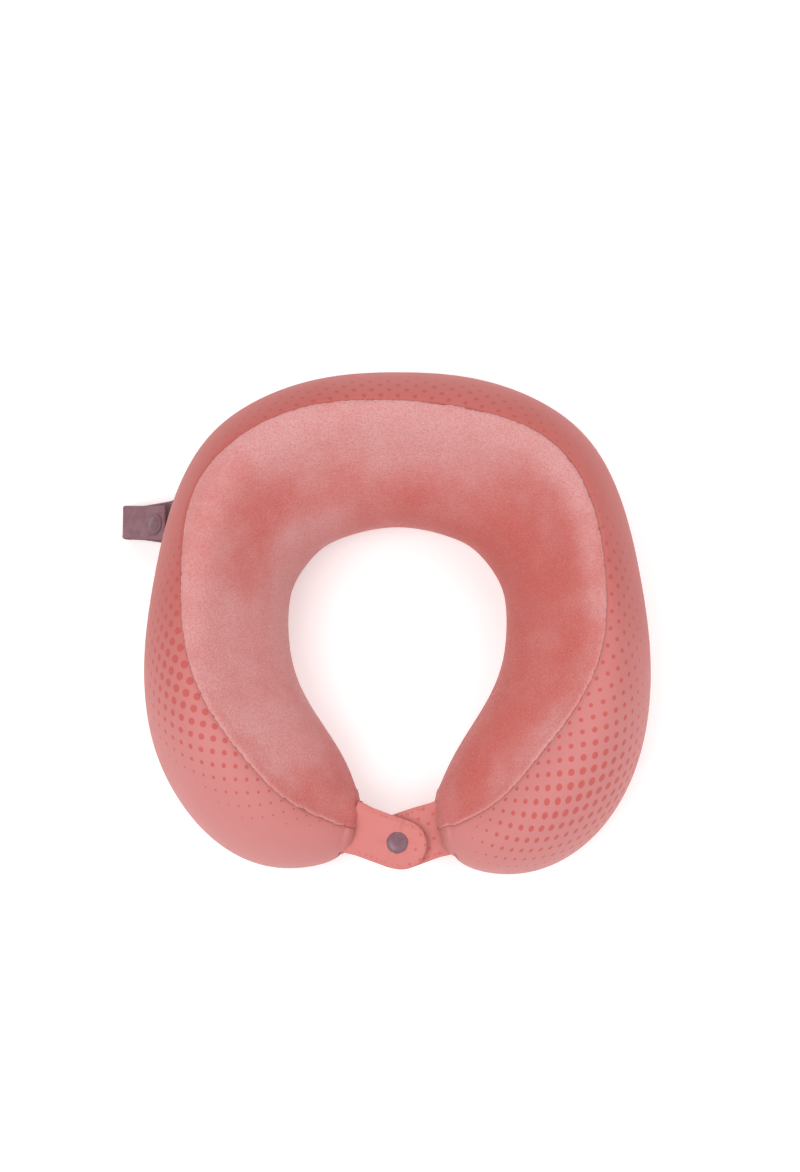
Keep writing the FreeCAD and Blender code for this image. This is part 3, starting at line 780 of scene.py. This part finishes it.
cover = make_cover()
cut_slot(cover["base_panel"], 3 * MM, 0.05 * MM)
for panel in cover.values():
    bend_at_nape(panel)
make_filling()


# -------- front tabs

TAB_ROWS, TAB_COLUMNS = 56, 40
TAB_SCALE = 10.0         # the cloth is solved at ten times its size, where the solver is steady
TAB_ROOT = -4.0 * MM     # a tab starts here, inside the arm
SEWN_HALF = 0.25 * MM    # half the thickness at a sewn edge, and what the plies add between edges
FULL_HALF = 1.3 * MM
SNAP_HOLD = 6.2 * MM     # the snap presses the plies together out to here
CLOTH_PRESSURE, CLOTH_FRAMES = 3.0, 20
LARGEST_MOVE = 1.4 * MM
STITCH_START, STITCH_END = 7.2 * MM, 9 * MM      # from the root and from the tip
STITCH_PITCH, STITCH_INSET = 3.1 * MM, 2.3 * MM
STITCH_HALF, THREAD_RADIUS = 1.15 * MM, 0.16 * MM

# One edge of a tab: its distance from the middle line, where it starts to round off and how
# squarely, and how much wider it is at the root, as a share that fades out over a reach.
TabEdge = namedtuple("TabEdge", "width corner power flare reach")


def centre_of(node):
    low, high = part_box(node)
    return np.array([(a + b) / 2 for a, b in zip(low, high)])


class Tab:
    """A tab's own frame: x out along it from its hinge, y across it and z up."""

    def __init__(self, name, joint, snap, tip, edges):
        self.name = name
        self.hinge = np.array(joints[joint]["pos_m"])
        run = centre_of(snap)[:2] - self.hinge[:2]
        self.snap = np.linalg.norm(run)
        self.x = np.array([*(run / self.snap), 0])
        self.y = np.array([-self.x[1], self.x[0], 0])
        self.tip = tip
        self.edges = edges

    def world(self, local):
        """Points of the tab's own frame in the shared one."""
        local = np.asarray(local)
        up = np.array([0, 0, 1])
        return (self.hinge + local[..., :1] * self.x + local[..., 1:2] * self.y
                + local[..., 2:3] * up)

    def outline(self, along):
        """Both edges of the tab at a distance along it; each rounds off towards the tip."""
        sides = []
        for edge in self.edges:
            share = np.clip((along - edge.corner) / (self.tip - edge.corner), 0, 1)
            root = edge.flare * np.clip(1 - np.maximum(along, 0) / edge.reach, 0, 1) ** 2
            sides.append(edge.width * ((1 - share ** edge.power) ** (1 / edge.power) + root))
        return sides


def flat_tab(tab):
    """Grid of a tab's two plies, laid flat: local points, from below its root to its tip."""
    share = np.sin(np.linspace(0, 1, TAB_ROWS) * math.pi / 2)
    along = TAB_ROOT + (tab.tip - TAB_ROOT) * (0.35 * share + 0.65 * np.linspace(0, 1, TAB_ROWS))
    along = np.append(along[:-1], tab.tip)
    left, right = tab.outline(along)
    across = np.sin(np.linspace(-0.5, 0.5, TAB_COLUMNS) * math.pi * 0.86)
    across = across / across[-1] * 0.5 + 0.5
    y = right[:, None] + (left - right)[:, None] * across
    x = np.repeat(along[:, None], TAB_COLUMNS, axis=1)
    edge = np.minimum(across, 1 - across) * 2
    tip = np.clip((tab.tip - along) / (6 * MM), 0, 1)[:, None]
    fullness = np.sqrt(np.clip(edge * 4, 0, 1)) * np.sqrt(tip)
    return x, y, SEWN_HALF + FULL_HALF * fullness


def two_ply_mesh(tab):
    """Closed mesh of both plies, joined along the edge, in the tab's own frame."""
    x, y, half = flat_tab(tab)
    verts = np.concatenate([np.stack([x, y, sign * half], axis=2).reshape(-1, 3)
                            for sign in (1, -1)])
    size = TAB_ROWS * TAB_COLUMNS
    faces = [tuple(reversed(face)) for face in grid_faces(TAB_ROWS, TAB_COLUMNS)]
    faces += grid_faces(TAB_ROWS, TAB_COLUMNS, size)
    for i in range(TAB_ROWS - 1):
        a, b = i * TAB_COLUMNS, (i + 1) * TAB_COLUMNS
        faces.append((a, a + size, b + size, b))
        c, d = a + TAB_COLUMNS - 1, b + TAB_COLUMNS - 1
        faces.append((c, d, d + size, c + size))
    for j in range(TAB_COLUMNS - 1):
        faces.append((j, j + 1, j + 1 + size, j + size))
    last = (TAB_ROWS - 1) * TAB_COLUMNS
    faces.append((last, last + size, last + size + TAB_COLUMNS - 1, last + TAB_COLUMNS - 1))
    return verts, faces


def simulate(piece, pinned):
    """Blow the sewn plies up a little with the cloth solver; returns the settled points."""
    group = piece.vertex_groups.new(name="pinned")
    for index, weight in enumerate(pinned):
        group.add([index], float(weight), "REPLACE")
    cloth = piece.modifiers.new("cloth", "CLOTH")
    settings = cloth.settings
    settings.vertex_group_mass = "pinned"
    settings.quality = 8
    settings.mass = 0.3
    settings.tension_stiffness = settings.compression_stiffness = 18
    settings.shear_stiffness = 8
    settings.bending_stiffness = 0.6
    settings.use_pressure = True
    settings.uniform_pressure_force = CLOTH_PRESSURE
    settings.shrink_min = -0.05
    settings.effector_weights.gravity = 0
    cloth.point_cache.frame_start, cloth.point_cache.frame_end = 1, CLOTH_FRAMES
    scene = bpy.context.scene
    for number in range(1, CLOTH_FRAMES + 1):
        scene.frame_set(number)
    graph = bpy.context.evaluated_depsgraph_get()
    settled = piece.evaluated_get(graph).to_mesh()
    points = np.array([v.co[:] for v in settled.vertices])
    piece.evaluated_get(graph).to_mesh_clear()
    piece.modifiers.remove(cloth)
    piece.vertex_groups.remove(group)
    scene.frame_set(1)
    return points


def make_tab(tab, dots):
    """Both plies of a tab as one closed piece, settled, puckered and put in its place."""
    verts, faces = two_ply_mesh(tab)
    piece = new_piece(tab.name + "_cloth", verts * TAB_SCALE, faces, TAB_KNIT)
    from_snap = np.hypot(verts[:, 0] - tab.snap, verts[:, 1])
    half = np.abs(verts[:, 2])
    held = (verts[:, 0] < 0) | (from_snap < SNAP_HOLD) | (half < 0.4 * MM)
    settled = verts
    settled = simulate(piece, held) / TAB_SCALE
    local = verts + np.clip(settled - verts, -LARGEST_MOVE, LARGEST_MOVE)
    local[:, 2] += tab_puckers(tab, local, from_snap)
    for vertex, place in zip(piece.data.vertices, tab.world(local)):
        vertex.co = place
    write_attribute(piece, "along", local[:, 0])
    write_attribute(piece, "across", local[:, 1])
    write_attribute(piece, "dot_size", dots(local))
    # The tabs get one even setting of the painted light and shade attribute, towards the lit tone.
    write_attribute(piece, "stretch", np.full(len(local), 0.75))
    return piece


def tab_puckers(tab, local, from_snap):
    """Small folds: short ones along the sewn edge and a few that run out from the snap."""
    x, y, z = local[:, 0], local[:, 1], local[:, 2]
    left, right = tab.outline(x)
    to_edge = np.minimum(np.abs(left - y), np.abs(y - right))
    edge = np.exp(-(((to_edge - 1.6 * MM) / (1.6 * MM)) ** 2)) * (x > 1 * MM)
    turn = np.arctan2(y, x - tab.snap)
    folds = 0.42 * np.sin(x / MM * 1.7 + 2 * np.sin(x / MM * 0.4)) * edge
    reach = np.exp(-(((from_snap - 9 * MM) / (3.2 * MM)) ** 2))
    rays = 0.40 * (np.sin(7 * turn + 0.8) + 0.6 * np.sin(11 * turn)) * reach
    sag = 0.34 * np.sin(x / MM * 0.33 + y / MM * 0.12) * (from_snap > 6.4 * MM)
    return (folds + rays + sag) * MM * np.sign(z) * np.clip(np.abs(z) / MM, 0, 1)


def tab_stitches(tab, piece):
    """Small stitches along the tab's edge, each lying on the cloth as it settled."""
    tree = BVHTree.FromPolygons([v.co.copy() for v in piece.data.vertices],
                                [list(p.vertices) for p in piece.data.polygons])
    verts, faces = [], []
    for along in np.arange(STITCH_START, tab.tip - STITCH_END, STITCH_PITCH):
        for edge, inwards in zip(tab.outline(along), (-1, 1)):
            spot = tab.world([along, edge + inwards * STITCH_INSET, 20 * MM])
            hit = tree.ray_cast(Vector(spot), Vector((0, 0, -1)))[0]
            if hit is not None:
                add_stitch(verts, faces, np.array(hit), tab.x)
    return new_piece(tab.name + "_edge_stitches", verts, faces, THREAD)


def add_stitch(verts, faces, middle, heading):
    """One stitch: a thin bead drawn out along its heading, half sunk into the cloth."""
    up = np.array([0, 0, 1])
    side = np.cross(up, heading)
    start = len(verts)
    rings, around = 7, 6
    for i in range(rings):
        place = (i / (rings - 1) - 0.5) * 2
        girth = THREAD_RADIUS * math.sqrt(max(1 - place ** 2, 0.02))
        for j in range(around):
            turn = 2 * math.pi * j / around
            verts.append(middle + heading * place * STITCH_HALF
                         + (side * math.cos(turn) + up * math.sin(turn)) * girth)
    for i in range(rings - 1):
        for j in range(around):
            a, b = start + i * around + j, start + i * around + (j + 1) % around
            faces.append((a, b, b + around, a + around))
    faces.append(tuple(start + j for j in reversed(range(around))))
    faces.append(tuple(start + (rings - 1) * around + j for j in range(around)))


def upper_tab_dots(local):
    """A few small dots near the tip."""
    near_tip = fade(local[:, 0], 0.027, 0.036)
    return np.where(near_tip > 0.05, 0.9 * MM * near_tip, NO_DOT)


def lower_tab_dots(local):
    """Small dots that are largest at the root."""
    return 0.95 * MM * fade(-local[:, 0], -0.020, -0.008) + 0.1 * MM


def make_tabs():
    shapes = (
        (Tab("upper_tab", "upper_tab_lift", "snap_cap", tip=41.0 * MM, edges=(
            TabEdge(13.6 * MM, 27 * MM, 2.1, 0.05, 7 * MM),
            TabEdge(-14.6 * MM, 22 * MM, 2.2, 0.05, 7 * MM))), "left_half", upper_tab_dots),
        (Tab("lower_tab", "lower_tab_drop", "snap_stud", tip=37.5 * MM, edges=(
            TabEdge(15.2 * MM, 22 * MM, 2.0, 0.05, 7 * MM),
            TabEdge(-16.2 * MM, 26 * MM, 2.2, -0.065, 22 * MM))), "right_half", lower_tab_dots),
    )
    for tab, half, dots in shapes:
        piece = make_tab(tab, dots)
        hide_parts(*(f"{tab.name}_{ply}" for ply in ("face", "lining", "binding")))
        stitches = tab_stitches(tab, piece)
        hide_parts(tab.name + "_stitching")
        start, end = tab.world([-3 * MM, 0, 0]), tab.world([3 * MM, 0, 0])
        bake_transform(piece)
        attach(stitches, tab.name)


make_tabs()


# -------- strap

STRAP_DROOP = math.radians(42)
STRAP_CLOTH = 1.4 * MM
STRAP_LENGTH = 30.2 * MM     # from the hinge to where the fold starts
FOLD_RADIUS = 3.2 * MM
FOLD_MIDDLE = 2.5 * MM       # height of the fold's centre above the band
STRAP_X = np.array([-math.cos(STRAP_DROOP), 0, -math.sin(STRAP_DROOP)])
STRAP_Y = np.array([0.0, -1.0, 0.0])
STRAP_Z = np.array([-math.sin(STRAP_DROOP), 0, math.cos(STRAP_DROOP)])
STRAP_START = np.array(joints["strap_swing"]["pos_m"]) + STRAP_Z * STRAP_CLOTH / 2
WALL_SHIFT, FOLD_SHIFT = -1.4 * MM, -3.8 * MM     # the folded webbing sits a little askew
WALL_REACH = -8.5 * MM        # the band runs on to here, inside the side seam
FLAP_REACH = -3.4 * MM        # the flap stops here, clear of the wall when the strap lifts
FLAP_LEAN = 1.1 * MM          # the flap comes back this far off the band's line
STRAP_CAP_PLACE = 4.6 * MM
BAND_HALF_WIDTHS = (13.4 * MM, 11.8 * MM, 10.2 * MM, 9.6 * MM)
FLAP_HALF_WIDTHS = (9.6 * MM, 9.6 * MM, 9.8 * MM, 10.0 * MM)
WEBBING_COLUMNS = 41


def strap_point(x, y, z):
    """A point of the strap's own frame in the shared one: x out, y across and z up off it."""
    return STRAP_START + x * STRAP_X + y * STRAP_Y + z * STRAP_Z


def fold_arc(first, last, count):
    """Part of the fold at the strap's outer end, between two angles in degrees."""
    turns = np.radians(np.linspace(first, last, count))
    return [(STRAP_LENGTH + FOLD_RADIUS * math.cos(t), FOLD_MIDDLE + FOLD_RADIUS * math.sin(t))
            for t in turns]


def webbing_piece(name, path, half_widths, lean=0.0):
    """Strip of webbing along a path in the strap's frame, with thicker woven edges."""
    path = np.array(path)
    run = arc_run(path)
    share = np.linspace(-1, 1, WEBBING_COLUMNS)
    half = np.interp(run / run[-1], np.linspace(0, 1, len(half_widths)), half_widths)
    points = np.zeros((len(path), WEBBING_COLUMNS, 3))
    for i, (x, z) in enumerate(path):
        for j, s in enumerate(share):
            shift = WALL_SHIFT + FOLD_SHIFT * min(max(x / STRAP_LENGTH, 0), 1)
            points[i, j] = strap_point(x, s * half[i] + shift + lean * run[i] / run[-1], z)
    normals = grid_normals(points)
    inset = (1 - np.abs(share)) * half[:, None]
    ridge = 0.16 * MM * np.exp(-(((inset - 1.3 * MM) / (0.45 * MM)) ** 2))
    round_off = -0.45 * MM * np.exp(-((inset / (0.35 * MM)) ** 2))
    thick = (STRAP_CLOTH / 2 + ridge + round_off)[:, :, None]
    verts, faces = closed_sheet(points + normals * thick, 2 * thick, normals)
    piece = new_piece(name, verts, faces, WEBBING)
    write_attribute(piece, "across", np.tile((share * half[:, None]).reshape(-1), 2))
    write_attribute(piece, "along", np.tile(np.repeat(run, WEBBING_COLUMNS), 2))
    return piece


def make_strap():
    """The band out of the side seam and the flap that folds back over it, joined at the fold."""
    low = -STRAP_CLOTH / 2
    high = FOLD_MIDDLE + FOLD_RADIUS
    band_path = [(x, low) for x in np.linspace(WALL_REACH, STRAP_LENGTH, 30)[:-1]]
    band_path += fold_arc(-90, 0, 14)
    band = webbing_piece("strap_band_webbing", band_path, BAND_HALF_WIDTHS)
    flap_path = fold_arc(0, 90, 14)
    flap_path += [(x, high) for x in np.linspace(STRAP_LENGTH, FLAP_REACH, 34)[1:]]
    flap = webbing_piece("strap_flap_webbing", flap_path, FLAP_HALF_WIDTHS, FLAP_LEAN)
    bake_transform(band)
    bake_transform(flap)
    for piece, node in ((band, "strap_band"), (flap, "strap_flap")):
        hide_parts(node)


# -------- snap caps

# Radius and height in millimetres: dome, groove, rim, underside and the post below it.
CAP_PROFILE = ((0.0, 1.38), (1.4, 1.36), (2.6, 1.28), (3.6, 1.12), (4.4, 0.92), (4.75, 0.84),
               (5.0, 0.86), (5.35, 0.90), (5.7, 0.80), (5.92, 0.58), (6.02, 0.3), (5.96, 0.08),
               (5.7, 0.0), (1.7, 0.0), (1.7, -1.3), (0.0, -1.3))


def lathe(name, profile, origin, axes, material):
    """Solid of revolution; the profile is in millimetres and runs from pole to pole."""
    around = 72
    verts, faces, rows = [], [], []
    for radius, height in profile:
        if radius == 0:
            rows.append([len(verts)])
            verts.append(origin + axes[2] * height * MM)
            continue
        rows.append(list(range(len(verts), len(verts) + around)))
        for j in range(around):
            turn = 2 * math.pi * j / around
            verts.append(origin + (axes[0] * math.cos(turn) + axes[1] * math.sin(turn)) * radius * MM
                         + axes[2] * height * MM)
    for upper, lower in zip(rows, rows[1:]):
        for j in range(around):
            k = (j + 1) % around
            if len(upper) == 1:
                faces.append((upper[0], lower[j], lower[k]))
            elif len(lower) == 1:
                faces.append((upper[k], upper[j], lower[0]))
            else:
                faces.append((upper[j], lower[j], lower[k], upper[k]))
    return new_piece(name, verts, faces, material)


CAP_SEAT = 1.3 * MM          # from the top of the front cap's CAD solid to the cloth


def make_caps():
    low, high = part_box("snap_cap")
    front = np.array([(low[0] + high[0]) / 2, (low[1] + high[1]) / 2, high[2] - CAP_SEAT])
    front_cap = lathe("snap_cap_disc", CAP_PROFILE, front, np.eye(3), ENAMEL)
    middle = strap_point(STRAP_CAP_PLACE, 0, FOLD_MIDDLE + FOLD_RADIUS + STRAP_CLOTH / 2 + 0.02 * MM)
    strap_cap = lathe("strap_cap_disc", CAP_PROFILE, middle, (STRAP_X, STRAP_Y, STRAP_Z), ENAMEL)
    for cap, node, body in ((front_cap, "snap_cap", "upper_tab"),
                            (strap_cap, "strap_cap", "strap_flap")):
        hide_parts(node)
        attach(cap, body)


make_strap()
make_caps()

CAD_MATERIALS = (
    (ZIP_TAPE, ("zip_tape_inner", "zip_tape_outer")),
    (ZIP_COIL, ("zip_coil_inner", "zip_coil_outer")),
    (ZIP_METAL, ("zip_top_stop", "zip_bottom_stop", "zip_slider", "zip_pull")),
    (STEEL, ("snap_socket", "snap_stud", "strap_socket", "strap_stud")),
    (ENAMEL, ("snap_rivet", "strap_rivet")),
)
for material, names in CAD_MATERIALS:
    for name in names:
        mesh = frame["nodes"][name].data
        mesh.materials.clear()
        mesh.materials.append(material)


# -------- stage, light and camera

def make_stage():
    bpy.ops.mesh.primitive_plane_add(size=12, location=(0, 0, -0.0005))
    floor = bpy.context.object
    floor.name = "floor"
    n = Nodes("floor")
    floor.data.materials.append(n.finish((0.93, 0.93, 0.93), Roughness=0.9, Specular_IOR_Level=0.1,
                                         Emission_Color=(1.0, 1.0, 1.0), Emission_Strength=0.22))


LIGHT_TARGET = Vector((0, 0, 50 * MM))


def area_light(name, place, size, power):
    data = bpy.data.lights.new(name, "AREA")
    data.size = size
    data.energy = power
    lamp = bpy.data.objects.new(name, data)
    lamp.location = place
    lamp.rotation_euler = (LIGHT_TARGET - Vector(place)).to_track_quat("-Z", "Y").to_euler()
    bpy.context.scene.collection.objects.link(lamp)


def make_lights():
    """Soft light from all round, with a key, a fill and a back light."""
    world = bpy.data.worlds.new("studio")
    bpy.context.scene.world = world
    world.use_nodes = True
    world.node_tree.nodes["Background"].inputs[0].default_value = (1, 1, 1, 1)
    world.node_tree.nodes["Background"].inputs[1].default_value = 0.62
    area_light("key", (-0.7, -0.5, 1.5), 1.2, 16)
    area_light("fill", (0.9, -0.3, 1.2), 1.4, 7)
    area_light("back", (0.1, 1.1, 1.1), 1.2, 6)


VIEW_HEIGHT = 680.3 * MM      # height of the picture, measured through the point aimed at
AIM_UP, AIM_RIGHT = 19.45 * MM, 1.45 * MM        # that point, from the origin, in the picture
ELEVATION = math.radians(80)
DISTANCE = 1.7


def make_camera():
    """Looks steeply down on the pillow from the front."""
    data = bpy.data.cameras.new("camera")
    data.sensor_width = 36
    data.lens = data.sensor_width * DISTANCE / VIEW_HEIGHT
    camera = bpy.data.objects.new("camera", data)
    bpy.context.scene.collection.objects.link(camera)
    back = Vector((0, -math.cos(ELEVATION), math.sin(ELEVATION)))
    up = Vector((0, math.sin(ELEVATION), math.cos(ELEVATION)))
    aim = up * AIM_UP
    aim.x = AIM_RIGHT
    camera.location = aim + back * DISTANCE
    camera.rotation_mode = "QUATERNION"
    camera.rotation_quaternion = (-back).to_track_quat("-Z", "Y")
    bpy.context.scene.camera = camera


bpy.context.scene.view_settings.view_transform = "Standard"
make_stage()
make_lights()
make_camera()
